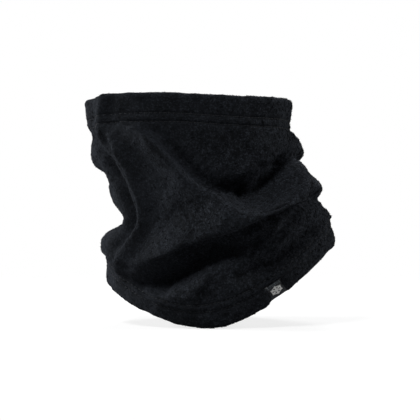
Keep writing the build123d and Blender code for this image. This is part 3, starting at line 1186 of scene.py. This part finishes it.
@dataclass(frozen=True)
class LoosePile:
    """Tufts of loose fibre over the fleece, strewn with Geometry Nodes."""

    density: float = 0.235
    tip: float = 0.35
    smallest: float = 0.6
    largest: float = 1.25
    fibres: int = 7
    fibre_length: tuple[float, float] = (0.9, 1.7)
    fibre_lift: tuple[float, float] = (12.0, 48.0)
    fibre_width: float = 0.24
    seed: int = 11

    def tuft(self) -> tuple[Array, Faces]:
        """One tuft: a few tapered fibres that lie over almost flat.

        Returns:
            Points and faces.
        """
        draw = np.random.default_rng(self.seed)
        points, faces = [], []
        for k in range(self.fibres):
            turn = 2 * math.pi * (k + draw.uniform(-0.3, 0.3)) / self.fibres
            lift = math.radians(draw.uniform(*self.fibre_lift))
            way = np.array([math.cos(turn) * math.cos(lift), math.sin(turn) * math.cos(lift), math.sin(lift)])
            side = np.array([-math.sin(turn), math.cos(turn), 0.0]) * self.fibre_width / 2
            foot = np.array([*draw.uniform(-0.35, 0.35, 2), -0.15])
            start = len(points)
            points += [foot - side, foot + side, foot + np.array([0.0, 0.0, self.fibre_width]),
                       foot + way * draw.uniform(*self.fibre_length)]
            faces += [(start + a, start + b, start + c)
                      for a, b, c in ((0, 1, 3), (1, 2, 3), (2, 0, 3), (0, 2, 1))]
        return np.array(points), faces

    def rule(self) -> NodeRule:
        """Build the tree, which strews tufts over one quarter of the cloth where its nap is rough.

        Returns:
            The rule.
        """
        rule = NodeRule("strew_tufts", {"Cloth": "NodeSocketGeometry", "Density": "NodeSocketFloat",
                                        "Quarter": "NodeSocketVector"})
        tree, given = rule.tree, rule.given
        nap = add_node(tree, "GeometryNodeInputNamedAttribute", {"Name": "nap"}, data_type="FLOAT")
        thick = add_node(tree, "ShaderNodeMath", {}, {0: nap.outputs["Attribute"], 1: given["Density"]},
                         operation="MULTIPLY")
        place = add_node(tree, "GeometryNodeInputPosition").outputs[0]
        sided = add_node(tree, "ShaderNodeVectorMath", {}, {0: place, 1: given["Quarter"]}, operation="MULTIPLY")
        parts = add_node(tree, "ShaderNodeSeparateXYZ", {}, {0: sided.outputs[0]}).outputs
        least = add_node(tree, "ShaderNodeMath", {}, {0: parts["X"], 1: parts["Y"]}, operation="MINIMUM")
        chosen = add_node(tree, "ShaderNodeMath", {1: 0.0}, {0: least.outputs[0]}, operation="GREATER_THAN")
        strewn = add_node(tree, "GeometryNodeDistributePointsOnFaces", {},
                          {"Mesh": given["Cloth"], "Selection": chosen.outputs[0], "Density": thick.outputs[0],
                           "Seed": given["Seed"]})
        spin = add_node(tree, "FunctionNodeRandomValue", {0: (-self.tip, -self.tip, 0.0),
                        1: (self.tip, self.tip, 6.283)}, {"Seed": given["Seed"]}, data_type="FLOAT_VECTOR")
        euler = add_node(tree, "FunctionNodeEulerToRotation", {}, {"Euler": spin.outputs[0]})
        turned = add_node(tree, "FunctionNodeRotateRotation", {}, {"Rotation": strewn.outputs["Rotation"],
                          "Rotate By": euler.outputs[0]}, rotation_space="LOCAL")
        size = add_node(tree, "FunctionNodeRandomValue", {2: self.smallest, 3: self.largest},
                        {"Seed": given["Seed"]}, data_type="FLOAT")
        rule.close(strewn.outputs["Points"], turned.outputs[0], size.outputs[1])
        return rule

    def strew(self, cloth: bpy.types.Object, quarter: Quarter,
              finish: bpy.types.Material) -> bpy.types.Object:
        """Strew tufts over one quarter of the cloth.

        Args:
            cloth: the fleece panel.
            quarter: which quarter.
            finish: the fibres' material.

        Returns:
            One plain mesh of all its tufts.
        """
        pile = bpy.data.objects.new(f"loose_pile_{quarter.name.lower()}", cloth.data.copy())
        bpy.context.scene.collection.objects.link(pile)
        values = {"Density": self.density / MM**2, "Quarter": quarter.value, "Seed": self.seed,
                  "Finish": finish}
        return self.rule().apply(pile, mesh_object("tuft_unit", *self.tuft(), smooth=False), values)


# ---------------------------------------------------------------- the sewing


@dataclass
class Coverstitch:
    """The stitching of one hem: two rows of needle thread outside, and the looper's chain inside."""

    cloth: ClothMap
    panel: FleecePanel
    end: HemEnd
    thread: float = 0.55
    looper_thread: float = 0.42
    arch: float = 0.16
    dip: float = 0.75

    def build(self, finish: bpy.types.Material) -> None:
        """Make and dress the hem's three threads.

        Args:
            finish: the thread's material.
        """
        outer, inner = self.panel.needle_rows
        upper = outer if self.end is HemEnd.TOP else inner
        for row in self.panel.needle_rows:
            name = f"{self.end.value}_hem_needle_thread_{'upper' if row == upper else 'lower'}"
            piece = self.needle_row(name.replace("thread", "stitches"), self.end.run(self.cloth, row), finish)
            dress(piece, finish, "black_thread", GAITER_BODY, name)
        middle = self.end.run(self.cloth, (outer + inner) / 2)
        chain = self.chain(f"{self.end.value}_hem_looper_chain", middle, finish)
        dress(chain, finish, "black_thread", GAITER_BODY, f"{self.end.value}_hem_looper_thread")

    def stitch_angles(self) -> Array:
        """Angles of the middles of the stitches, half way between the needle's holes."""
        count = round(2 * self.cloth.flat_width / self.panel.stitch_pitch)
        return (np.arange(count) + 0.5) * 360.0 / count

    def needle_row(self, name: str, run: float, finish: bpy.types.Material) -> bpy.types.Object:
        """One row of needle stitches, each arched between two holes.

        Args:
            name: the piece's name.
            run: where the row lies.
            finish: its material.

        Returns:
            The row.
        """
        reach = 0.47 * self.panel.stitch_pitch
        route = smooth_route([(-reach, 0, -self.dip), (-0.62 * reach, 0, -0.05), (0, 0, self.arch),
                              (0.62 * reach, 0, -0.05), (reach, 0, -self.dip)])
        depth = -0.62 * self.panel.stitch_pull
        places, along, out = self.cloth.frames(self.stitch_angles(), np.array([run]), depth)
        return UnitLayer(0.05, 0.06, 3).lay(name, tube(route, self.thread / 2), places, along, out, finish)

    def chain(self, name: str, run: float, finish: bpy.types.Material) -> bpy.types.Object:
        """The looper's chain, which covers the raw edge on the inside.

        Args:
            name: the piece's name.
            run: the chain's middle.
            finish: its material.

        Returns:
            The chain.
        """
        half = (self.panel.needle_rows[1] - self.panel.needle_rows[0]) / 2
        step = self.panel.stitch_pitch / 2
        route = smooth_route([(-step, -half, 0), (-0.5 * step, -half - 0.7, 0.1),
                              (0.15 * step, -half + 0.2, 0.25), (0.5 * step, 0, 0.2),
                              (0.8 * step, half - 0.2, 0.1), (0.2 * step, half + 0.7, 0.2),
                              (-0.3 * step, half, 0.35), (0.3 * step, 0, 0.4), (step, -half, 0.1)])
        inside = -self.panel.hem_thickness
        places, along, out = self.cloth.frames(self.stitch_angles(), np.array([run]), inside)
        loop = tube(route, self.looper_thread / 2, 4)
        return UnitLayer(0.04, 0.03, 5).lay(name, loop, places, along, -out, finish)


@dataclass
class BackSeam:
    """The seam that closes the tube: two raw edges laid to one side, wrapped in overlock thread."""

    cloth: ClothMap
    panel: FleecePanel
    width: float = 7.0
    layers: float = 4.0
    pitch: float = 2.6
    thread: float = 0.42
    neck_radius: float = 62.0
    nap: float = 0.5

    def inside(self, angle: Array, run: Array, rise: Array) -> Array:
        """Places inside the wall, moved level towards the neck's axis.

        Args:
            angle: angles of the columns.
            run: runs of the rows.
            rise: how far each place is moved, one for each column.

        Returns:
            Rows by columns of places.
        """
        wall = self.cloth.at(angle, run, -self.panel.thickness)
        level = np.stack([np.sin(np.radians(angle)), -np.cos(np.radians(angle)), np.zeros(len(angle))], -1)
        return wall - level[None] * np.asarray(rise)[None, :, None]

    def seam_angles(self, across: Array) -> Array:
        """Angles of places that lie some way across the seam allowance."""
        return self.panel.seam_angle + np.degrees(across / self.neck_radius)

    def allowance(self) -> bpy.types.Object:
        """The two raw edges, with a line between them and a soft free edge.

        Returns:
            The seam allowance.
        """
        width, top = self.width, self.layers
        outline = np.array([(0, -0.4), (0, 0.6 * top), (0.12 * width, 0.95 * top), (0.3 * width, 0.98 * top),
                            (0.75 * width, top), (0.95 * width, 0.96 * top), (width, 0.8 * top),
                            (width, 0.6 * top), (0.94 * width, 0.5 * top), (width, 0.4 * top),
                            (width, 0.15 * top), (0.96 * width, -0.4)])
        runs = np.linspace(self.cloth.hem - 0.5, self.cloth.length - self.cloth.hem + 0.5, 110)
        places = self.inside(self.seam_angles(outline[:, 0]), runs, outline[:, 1])
        rows, columns = places.shape[:2]
        caps = [tuple(range(columns)), tuple(range((rows - 1) * columns, rows * columns))[::-1]]
        faces = [face[::-1] for face in grid_faces(rows, columns, False, True)]
        piece = mesh_object("back_seam_allowance", places.reshape(-1, 3), faces + caps)
        store(piece, "nap", np.full(rows * columns, self.nap))
        return piece

    def overlock(self, finish: bpy.types.Material) -> bpy.types.Object:
        """Loops of overlock thread over the free edge.

        Args:
            finish: the thread's material.

        Returns:
            The loops.
        """
        top, lift = self.layers, self.thread / 2
        route = smooth_route([(-4.0, -0.5 * self.pitch, 0.0), (-3.6, -0.2 * self.pitch, lift), (-1.8, 0.0, lift),
                              (0.0, 0.15 * self.pitch, lift), (0.5, 0.2 * self.pitch, -0.25 * top),
                              (0.5, 0.25 * self.pitch, -0.7 * top), (0.1, 0.35 * self.pitch, -0.95 * top)])
        runs = np.arange(self.cloth.hem + 1.5, self.cloth.length - self.cloth.hem - 1.0, self.pitch)
        edge = self.seam_angles(np.array([self.width]))
        places = self.inside(edge, runs, np.array([top]))[:, 0]
        turn = np.radians(edge[0])
        along = np.tile((math.cos(turn), math.sin(turn), 0.0), (len(runs), 1))
        out = np.tile((-math.sin(turn), math.cos(turn), 0.0), (len(runs), 1))
        loop = tube(route, self.thread / 2, 4)
        return UnitLayer(0.04, 0.08, 9).lay("back_seam_overlock_loops", loop, places, along, out, finish)

    def build(self, fleece: bpy.types.Material, thread: bpy.types.Material) -> None:
        """Make and dress the seam.

        Args:
            fleece: the cloth's material.
            thread: the thread's material.
        """
        dress(self.allowance(), fleece, "black_fleece", GAITER_BODY)
        dress(self.overlock(thread), thread, "black_thread", GAITER_BODY, "back_seam_overlock_thread")


# ---------------------------------------------------------------- the labels


@dataclass
class WovenLabel:
    """The small satin label, folded round the edge of the bottom hem, with its figure and its stitches."""

    cloth: ClothMap
    pinch: HemPinch
    hem_thickness: float
    ribbon: float = 0.5
    figure_rise: float = 0.22
    thread: float = 0.42
    stitch_rows: tuple[float, float] = (12.0, 13.2)
    stitch_pitch: float = 1.5
    arm: float = 3.3
    arm_width: float = 1.0

    @property
    def skin(self) -> float:
        """Half the thickness of the hem inside the label."""
        return self.hem_thickness / 2 - self.pinch.depth + 0.05

    def angles(self, across: Array, run: float) -> Array:
        """Angles of places some way across the label from its middle, at one run."""
        return self.pinch.middle(run) + np.degrees(np.asarray(across) / self.pinch.plan_radius)

    def rows(self, across: Array, runs: Array, depth: float) -> Array:
        """Rows of places across the label, one for each run, at one depth."""
        return np.concatenate([self.cloth.at(self.angles(across, run), np.array([run]), depth)
                               for run in runs])

    def face(self, across: Array, half: float) -> tuple[Array, Array]:
        """Rows of places down the outer flap, round the hem's edge and up the inner flap.

        Args:
            across: distances across the label, of the columns.
            half: half the thickness of what the face goes round.

        Returns:
            The places, and how far along the ribbon each row is.
        """
        middle = -self.hem_thickness / 2
        down = np.linspace(self.pinch.flap, -middle, 14)
        turns = np.radians(np.linspace(15, 165, 9))
        reach = np.full(len(across), half)
        rows = [self.rows(across, down, middle + half),
                self.cloth.rim(self.angles(across, -middle), -middle, turns, -1.0, reach, middle),
                self.rows(across, down[::-1], middle - half)]
        flap = self.pinch.flap + middle
        along = np.concatenate([np.linspace(0, flap, 14), flap + half * turns, flap + half * math.pi
                                + np.linspace(0, flap, 14)])
        return np.concatenate(rows), along

    def tape(self) -> bpy.types.Object:
        """The ribbon itself, its cut ends turned in a little.

        Returns:
            The ribbon.
        """
        across = np.linspace(self.pinch.width / 2, -self.pinch.width / 2, 21)
        outer, along = self.face(across, self.skin + self.ribbon)
        inner, _ = self.face(across, self.skin)
        piece = mesh_object("woven_label_ribbon", *shell(outer, inner))
        weave_map(piece, across, along)
        return piece

    def bars(self) -> list[Array]:
        """Outlines of the snowflake: six arms, each with two short twigs, and a hexagon in the middle.

        Returns:
            The outlines, round the middle, in millimetres.
        """
        def way(degrees: float) -> Array:
            """A direction on the label's face."""
            return np.array([math.cos(math.radians(degrees)), math.sin(math.radians(degrees))])

        arm, bars = self.arm, []
        for turn in range(30, 390, 60):
            bars.append(self.bar(0.35 * arm * way(turn), arm * way(turn), self.arm_width))
            fork = 0.62 * arm * way(turn)
            bars += [self.bar(fork, fork + 0.36 * arm * way(turn + lean), 0.8 * self.arm_width)
                     for lean in (-60, 60)]
        return bars + [np.array([0.34 * arm * way(turn) for turn in range(0, 360, 60)])]

    @staticmethod
    def bar(start: Array, end: Array, width: float) -> Array:
        """Outline of one bar with blunt ends.

        Args:
            start: the middle of one end.
            end: the middle of the other.
            width: the bar's width.

        Returns:
            Its corners.
        """
        way = (end - start) / np.linalg.norm(end - start)
        side = np.array([-way[1], way[0]]) * width / 2
        blunt = way * width / 4
        return np.array([start - side, end - side, end + blunt - side / 2, end + blunt + side / 2, end + side,
                         start + side])

    def figure(self) -> bpy.types.Object:
        """A plain six-armed snowflake, woven white, a little proud of the ribbon.

        Returns:
            The figure.
        """
        centre, low = 0.5 * self.pinch.flap + 0.5, self.skin + self.ribbon - self.hem_thickness / 2
        points, faces = [], []
        for k, outline in enumerate(self.bars()):
            count, start = len(outline), sum(len(p) for p in points)
            high = low + self.figure_rise + 0.01 * (k % 3)
            for level in (low - 0.1, high):
                runs = centre + outline[:, 1]
                points.append(self.cloth.spots(self.angles(outline[:, 0], runs), runs, np.full(count, level)))
            faces.append(tuple(start + i for i in range(count))[::-1])
            faces.append(tuple(start + count + i for i in range(count)))
            faces += [(start + i, start + (i + 1) % count, start + count + (i + 1) % count, start + count + i)
                      for i in range(count)]
        piece = mesh_object("woven_snowflake", np.concatenate(points), faces, smooth=False)
        store_weave(piece, np.concatenate([np.tile(outline, (2, 1)) for outline in self.bars()]))
        return piece

    def stitches(self, finish: bpy.types.Material) -> bpy.types.Object:
        """Two short rows of stitches that hold the outer flap.

        Args:
            finish: the thread's material.

        Returns:
            The stitches.
        """
        reach = 0.48 * self.stitch_pitch
        route = smooth_route([(-reach, 0, -0.3), (-0.6 * reach, 0, 0.12), (0.6 * reach, 0, 0.12),
                              (reach, 0, -0.3)])
        half = self.pinch.width / 2 - 0.9
        across = np.arange(-half, half, self.stitch_pitch) + self.stitch_pitch / 2
        depth = self.skin + self.ribbon - self.hem_thickness / 2 + self.thread / 3
        rows = [self.cloth.frames(self.angles(across, run), np.array([run]), depth)
                for run in self.stitch_rows]
        places, along, out = (np.concatenate(part) for part in zip(*rows))
        stitch = tube(route, self.thread / 2)
        return UnitLayer(0.04, 0.05, 13).lay("label_thread_rows", stitch, places, along, out, finish)

    def build(self) -> None:
        """Make and dress the label, its figure and its stitches."""
        tape = self.tape()
        dress(tape, GREY_SATIN.material(), "black_satin", GAITER_BODY, "woven_label")
        dress(self.figure(), WHITE_FIGURE.material(), "white_weave", GAITER_BODY, "label_emblem")
        thread = GREY_THREAD.material()
        dress(self.stitches(thread), thread, "grey_thread", GAITER_BODY, "label_stitches")


@dataclass
class CareLabel:
    """The blank loop of white satin that hangs inside the back, from its sewn top edge."""

    roll: float = 0.5
    satin: float = 0.15
    gap: float = 0.1
    curl: float = 1.1
    thread: float = 0.36
    stitch_drop: float = 1.6
    stitch_pitch: float = 2.0

    def build(self) -> None:
        """Make and dress the label and its row of stitches."""
        low, high = (np.array(corner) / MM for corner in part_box("care_label"))
        hinge = np.array([(low[0] + high[0]) / 2, (low[1] + high[1]) / 2, high[2] - self.roll])
        width, height = high[0] - low[0], hinge[2] - low[2]
        across = np.linspace(-width / 2, width / 2, 27)
        outer, along = self.face(across, height, hinge, self.gap / 2 + self.satin)
        inner, _ = self.face(across, height, hinge, self.gap / 2)
        piece = mesh_object("care_label_loop", *shell(outer, inner))
        weave_map(piece, across, along)
        dress(piece, WHITE_SATIN.material(), "white_satin", CARE_BODY, "care_label")
        thread = GREY_THREAD.material()
        dress(self.stitches(width, height, hinge, thread), thread, "grey_thread", CARE_BODY)

    def stitches(self, width: float, height: float, hinge: Array,
                 finish: bpy.types.Material) -> bpy.types.Object:
        """The row of stitches that holds the two layers, just below the rolled edge.

        Args:
            width: the label's width.
            height: from the hinge to the fold.
            hinge: the middle of the sewn edge.
            finish: the thread's material.

        Returns:
            The row.
        """
        drop = self.stitch_drop
        places = np.array([(x, -self.bulge(x, drop, width, height) - self.gap / 2 - self.satin - 0.1, -drop)
                           for x in np.arange(-width / 2 + 1.5, width / 2 - 1.0, self.stitch_pitch)]) + hinge
        route = smooth_route([(-0.9, 0, -0.3), (-0.5, 0, 0.08), (0.5, 0, 0.08), (0.9, 0, -0.3)])
        along, out = (np.tile(way, (len(places), 1)) for way in ((1.0, 0.0, 0.0), (0.0, -1.0, 0.0)))
        stitch = tube(route, self.thread / 2)
        return UnitLayer(0.03, 0.04, 17).lay("care_label_stitches", stitch, places, along, out, finish)

    def bulge(self, x: float | Array, drop: float | Array, width: float, height: float) -> float | Array:
        """How far the hanging satin curves away from the wall, towards the neck.

        Args:
            x: distances across the label from its middle.
            drop: distances below the hinge.
            width: the label's width.
            height: from the hinge to the fold.

        Returns:
            The distances.
        """
        side, down = 2 * x / width, drop / height
        return self.curl * down * (0.55 * (1 - side**2) + 0.8 * down * side**2)

    def face(self, across: Array, height: float, hinge: Array, half: float) -> tuple[Array, Array]:
        """Rows of places up the back, over the rolled edge, and down the front, round the fold.

        Args:
            across: distances across the label, of the columns.
            height: from the hinge to the fold.
            hinge: the middle of the sewn edge.
            half: how far the face is from the middle of the two layers.

        Returns:
            The places, and how far along the satin each row is.
        """
        drops = np.linspace(height - 2 * half, 1.2 * self.roll, 24)
        over = np.radians(np.linspace(20, 160, 7))
        under = np.radians(np.linspace(20, 160, 5))
        roll = self.roll - self.satin + half - self.gap / 2
        profile = [(half, -d) for d in drops] + [(roll * math.cos(t), roll * math.sin(t)) for t in over]
        profile += [(-half, -d) for d in drops[::-1]]
        profile += [(-half * math.cos(t), -height + 2 * half - half * math.sin(t)) for t in under]
        profile = np.array(profile)
        width = across[-1] - across[0]
        lean = self.bulge(across[None], np.maximum(-profile[:, 1], 0.0)[:, None], width, height)
        x = np.tile(across, (len(profile), 1))
        y = profile[:, :1] - lean
        z = np.tile(profile[:, 1:], (1, len(across)))
        steps = np.concatenate([[0.0], np.cumsum(np.hypot(*np.diff(profile, axis=0).T))])
        return np.stack([x, y, z], -1) + hinge, steps


# ---------------------------------------------------------------- the studio


def stand(thing: bpy.types.Object, place: Vector, target: Vector) -> None:
    """Put a light or a camera in the scene, turned to its target.

    Args:
        thing: the light or camera.
        place: where it stands.
        target: what it faces.
    """
    thing.location = place
    thing.rotation_mode = "QUATERNION"
    thing.rotation_quaternion = (target - place).to_track_quat("-Z", "Y")
    bpy.context.scene.collection.objects.link(thing)


@dataclass(frozen=True)
class Softbox:
    """A square soft light that faces the object: its place in metres, its power and its side."""

    name: str
    place: tuple[float, float, float]
    watts: float
    size: float

    def build(self, target: Vector) -> None:
        """Make the light.

        Args:
            target: what it faces.
        """
        data = bpy.data.lights.new(self.name, "AREA")
        data.energy, data.size = self.watts, self.size
        stand(bpy.data.objects.new(self.name, data), Vector(self.place), target)


SOFTBOXES = (
    Softbox("left_softbox", (-0.85, 0.1, 0.35), 6.0, 0.3),
    Softbox("key_softbox", (-0.38, -0.74, 0.93), 7.2, 0.3),
    Softbox("right_softbox", (0.85, 0.05, 0.5), 4.0, 0.4),
    Softbox("back_softbox", (0.1, 0.9, 0.8), 7.0, 0.5),
)


@dataclass(frozen=True)
class Studio:
    """Pale floor, soft lights and the camera, in metres."""

    distance: float = 1.4
    lens: float = 164.3
    elevation: float = 1.0
    target: tuple[float, float, float] = (-0.0004, 0.0, 0.082)
    floor_radius: float = 0.9
    floor_sides: int = 96
    floor_level: float = -0.0003
    surround: float = 0.065

    def build(self) -> None:
        """Set up the whole studio."""
        self.floor()
        self.world()
        for softbox in SOFTBOXES:
            softbox.build(Vector(self.target))
        self.camera()

    def floor(self) -> None:
        """A round sheet of white paper under the object."""
        ring = [(self.floor_radius * math.cos(t), self.floor_radius * math.sin(t), self.floor_level)
                for t in np.linspace(0, 2 * math.pi, self.floor_sides, False)]
        sheet = mesh_object("floor_paper", np.array(ring) / MM, [tuple(range(len(ring)))], smooth=False)
        sheet.data.materials.append(StudioPaper().material())

    def world(self) -> None:
        """White surroundings, which light the object more softly than they look."""
        bpy.context.scene.view_settings.view_transform = "Standard"
        world = bpy.data.worlds.new("white_surround")
        bpy.context.scene.world = world
        world.use_nodes = True
        tree = world.node_tree
        tree.nodes.clear()
        soft = add_node(tree, "ShaderNodeBackground",
                        {"Color": (0.95, 0.97, 1.0, 1.0), "Strength": self.surround})
        seen = add_node(tree, "ShaderNodeBackground", {"Color": (1.0, 1.0, 1.0, 1.0), "Strength": 1.0})
        path = add_node(tree, "ShaderNodeLightPath")
        mixed = add_node(tree, "ShaderNodeMixShader", {}, {0: path.outputs["Is Camera Ray"],
                         1: soft.outputs[0], 2: seen.outputs[0]})
        add_node(tree, "ShaderNodeOutputWorld", {}, {"Surface": mixed.outputs[0]})

    def camera(self) -> None:
        """Add a long-lens camera in front of the object."""
        data = bpy.data.cameras.new("studio_camera")
        data.lens = self.lens
        camera = bpy.data.objects.new("studio_camera", data)
        lift, target = math.radians(self.elevation), Vector(self.target)
        stand(camera, target + Vector((0.0, -math.cos(lift), math.sin(lift))) * self.distance, target)
        bpy.context.scene.camera = camera


# ---------------------------------------------------------------- putting it together


def main() -> None:
    """Build the gaiter round its frame."""
    logging.basicConfig(level=logging.INFO, format="%(name)s %(message)s")
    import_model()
    cloth = ClothMap()
    cloth.shape()
    cloth.place_in_frame()
    cloth.find_normals()
    pinch = HemPinch(cloth.girth_radius)
    panel = FleecePanel(cloth, pinch)
    fleece, thread = BLACK_FLEECE.material(), BLACK_THREAD.material()
    gaiter = panel.build()
    dress(gaiter, fleece, "black_fleece", GAITER_BODY, "fleece_panel")
    for end in HemEnd:
        Coverstitch(cloth, panel, end).build(thread)
    BackSeam(cloth, panel).build(fleece, thread)
    WovenLabel(cloth, pinch, panel.hem_thickness).build()
    CareLabel().build()
    fibre = FLEECE_FIBRE.material()
    for quarter in Quarter:
        dress(LoosePile().strew(gaiter, quarter, fibre), fibre, "black_fleece", GAITER_BODY)
    Studio().build()


if __name__ == "__main__":
    main()
